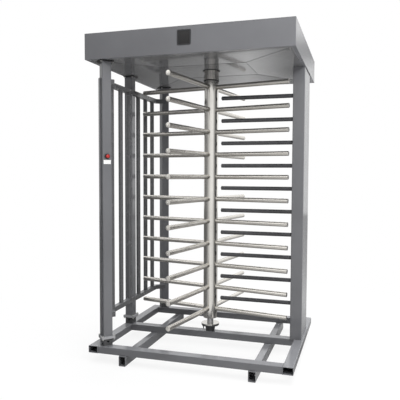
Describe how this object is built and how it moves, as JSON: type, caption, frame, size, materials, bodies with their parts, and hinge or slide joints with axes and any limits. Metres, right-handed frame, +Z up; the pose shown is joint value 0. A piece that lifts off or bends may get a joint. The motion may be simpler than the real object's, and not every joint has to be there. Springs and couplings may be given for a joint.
{
  "type": "full height turnstile",
  "caption": "Full height turnstile: a rotor of barred wings turning in a free-standing frame, with a comb of bars, a guard of upright bars and a header that houses the lock.",
  "frame": {"origin": "on the rotor's axis at floor level, the middle of the base", "axes": "+X across the lane to the comb and the right post, +Y through the lane from the front to the rear, +Z up along the rotor's axis"},
  "size_m": [1.45, 1.25, 2.289],
  "materials": {
    "frame_paint": "satin powder coat, grey",
    "cage_paint": "satin powder coat, dark grey",
    "polished_stainless": "polished stainless steel",
    "soffit_sheet": "gloss coat",
    "machined_steel": "machined",
    "plated_steel": "zinc plated",
    "brass": "machined",
    "black_casting": "black painted",
    "black_plastic": "satin",
    "dark_window": "gloss",
    "label_foil": "satin, blank",
    "red_plastic": "gloss",
    "coil_cover": "satin",
    "box_plastic": "satin"
  },
  "bodies": {
    "frame": {"skid_left": "frame_paint", "skid_right": "frame_paint", "side_rail_left": "frame_paint", "side_rail_right": "frame_paint", "front_rail": "frame_paint", "middle_rail": "frame_paint", "rear_rail": "frame_paint", "foot_front_left": "frame_paint", "foot_middle_left": "frame_paint", "foot_rear_left": "frame_paint", "post_front_left": "frame_paint", "post_middle_left": "frame_paint", "post_rear_left": "frame_paint", "right_post": "frame_paint", "fixing_strip": "frame_paint", "header_shell": "frame_paint", "header_lid": "frame_paint", "comb_bars": "cage_paint", "cage_top_rail": "cage_paint", "cage_bottom_rail": "cage_paint", "cage_bars": "cage_paint", "comb_caps": "black_plastic", "display_bezel": "black_plastic", "button_base": "black_plastic", "post_bolts": "plated_steel", "bearing_bolts": "plated_steel", "left_header_plate": "plated_steel", "right_header_plate": "plated_steel", "beam_front": "plated_steel", "beam_rear": "plated_steel", "bearing_plate": "plated_steel", "header_soffit": "soffit_sheet", "display_window": "dark_window", "upper_bearing_housing": "black_casting", "pedestal": "black_casting", "centring_barrel": "black_casting", "upper_bearing": "machined_steel", "lower_bearing": "machined_steel", "pawl_pins": "machined_steel", "solenoid_entry": "coil_cover", "solenoid_exit": "coil_cover", "control_box": "box_plastic", "bearing_cover": "polished_stainless", "label_plate": "label_foil"},
    "rotor": {"column": "polished_stainless", "column_collar": "polished_stainless", "top_spindle": "machined_steel", "bottom_spindle": "machined_steel", "wing_right": "polished_stainless", "wing_rear": "polished_stainless", "wing_left": "polished_stainless", "wing_front": "polished_stainless", "arm_caps": "polished_stainless", "index_disc": "machined_steel"},
    "pawl_entry_body": {"pawl_entry": "brass"},
    "pawl_exit_body": {"pawl_exit": "brass"},
    "plunger_entry_body": {"plunger_entry": "machined_steel"},
    "plunger_exit_body": {"plunger_exit": "machined_steel"},
    "centring_plunger_body": {"centring_plunger": "machined_steel"},
    "push_button_body": {"push_button": "red_plastic"}
  },
  "joints": [
    {"name": "rotor_turn", "type": "hinge", "parent": "frame", "child": "rotor", "pos_m": [0, 0, 0.2], "axis": [0, 0, 1], "continuous": true},
    {"name": "pawl_entry_swing", "type": "hinge", "parent": "frame", "child": "pawl_entry_body", "pos_m": [0.075, -0.127, 2.17], "axis": [0, 0, -1], "range_deg": [0, 8.5]},
    {"name": "pawl_exit_swing", "type": "hinge", "parent": "frame", "child": "pawl_exit_body", "pos_m": [-0.075, 0.127, 2.17], "axis": [0, 0, -1], "range_deg": [0, 8.5]},
    {"name": "plunger_entry_slide", "type": "slide", "parent": "frame", "child": "plunger_entry_body", "axis": [0, -1, 0], "range_m": [0, 0.0083]},
    {"name": "plunger_exit_slide", "type": "slide", "parent": "frame", "child": "plunger_exit_body", "axis": [0, 1, 0], "range_m": [0, 0.0083]},
    {"name": "centring_slide", "type": "slide", "parent": "frame", "child": "centring_plunger_body", "axis": [-1, 0, 0], "range_m": [0, 0.008]},
    {"name": "button_press", "type": "slide", "parent": "frame", "child": "push_button_body", "axis": [-0.7071, 0.7071, 0], "range_m": [0, 0.004], "stiffness_N_per_m": 500}
  ],
  "couplings": [
    {"joint": "plunger_entry_slide", "follows": "pawl_entry_swing", "m_per_rad": 0.055},
    {"joint": "plunger_exit_slide", "follows": "pawl_exit_swing", "m_per_rad": 0.055}
  ]
}
